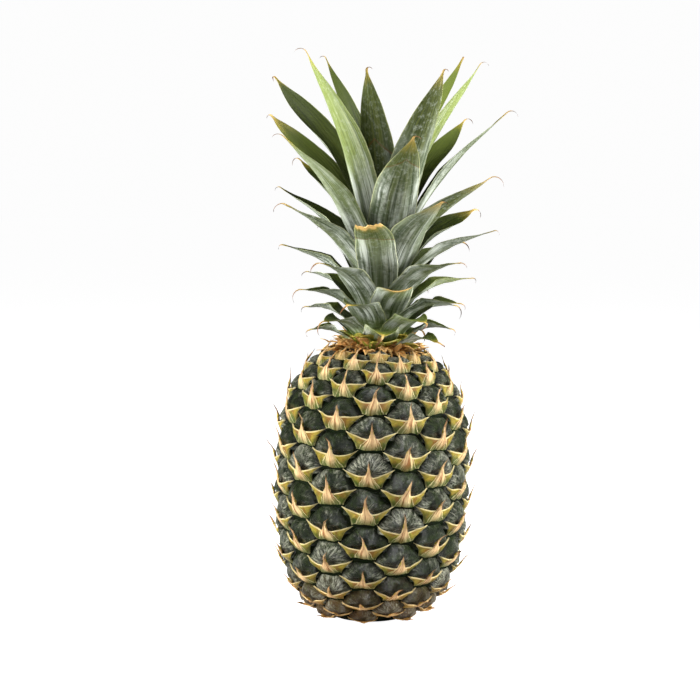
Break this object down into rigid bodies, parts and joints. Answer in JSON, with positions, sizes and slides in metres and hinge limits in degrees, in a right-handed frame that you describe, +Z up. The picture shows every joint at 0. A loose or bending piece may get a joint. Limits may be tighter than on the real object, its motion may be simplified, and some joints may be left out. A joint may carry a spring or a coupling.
{
  "type": "pineapple",
  "caption": "Whole ripe pineapple standing on its base, with a barrel of spiny hexagonal eyes and a full spreading crown of sword-shaped leaves.",
  "frame": {"origin": "centre of the cut stalk's face, in the middle of the flat spot that the fruit stands on", "axes": "+Z up along the fruit towards the crown; -Y towards the front of the fruit; the crown leans slightly towards +X"},
  "size_m": [0.1485, 0.1497, 0.3532],
  "materials": {
    "rind": "waxy green and olive eyes with a grey bloom, yellow-brown bracts with thin dry spines; satin",
    "leaf": "grey-green waxy bloom with fine lines outside, dark green inside, tips yellow to dry brown; satin",
    "green_stem": "pale green fibrous stem, hidden by the leaves; matt",
    "dry_fibre": "dry orange-brown stalk and collar fibres; matt"
  },
  "bodies": {
    "root": {"fruit": "rind", "cut_stalk": "dry_fibre", "crown_stem": "green_stem", "leaf_01": "leaf", "leaf_02": "leaf", "leaf_03": "leaf", "leaf_04": "leaf", "leaf_05": "leaf", "leaf_06": "leaf", "leaf_07": "leaf", "leaf_08": "leaf", "leaf_09": "leaf", "leaf_10": "leaf", "leaf_11": "leaf", "leaf_12": "leaf", "leaf_13": "leaf", "leaf_14": "leaf", "leaf_15": "leaf", "leaf_16": "leaf", "leaf_17": "leaf", "leaf_18": "leaf", "leaf_19": "leaf", "leaf_20": "leaf", "leaf_21": "leaf", "leaf_22": "leaf", "leaf_23": "leaf", "leaf_24": "leaf", "leaf_25": "leaf", "leaf_26": "leaf", "leaf_27": "leaf", "leaf_28": "leaf", "leaf_29": "leaf", "leaf_30": "leaf", "leaf_31": "leaf", "leaf_32": "leaf", "leaf_33": "leaf", "leaf_34": "leaf", "leaf_35": "leaf", "leaf_36": "leaf", "leaf_37": "leaf", "leaf_38": "leaf", "leaf_39": "leaf", "leaf_40": "leaf", "leaf_41": "leaf", "leaf_42": "leaf", "leaf_43": "leaf", "leaf_44": "leaf", "leaf_45": "leaf", "leaf_46": "leaf", "leaf_47": "leaf", "leaf_48": "leaf", "leaf_49": "leaf", "leaf_50": "leaf", "leaf_51": "leaf", "leaf_52": "leaf", "leaf_53": "leaf", "leaf_54": "leaf"}
  },
  "joints": []
}
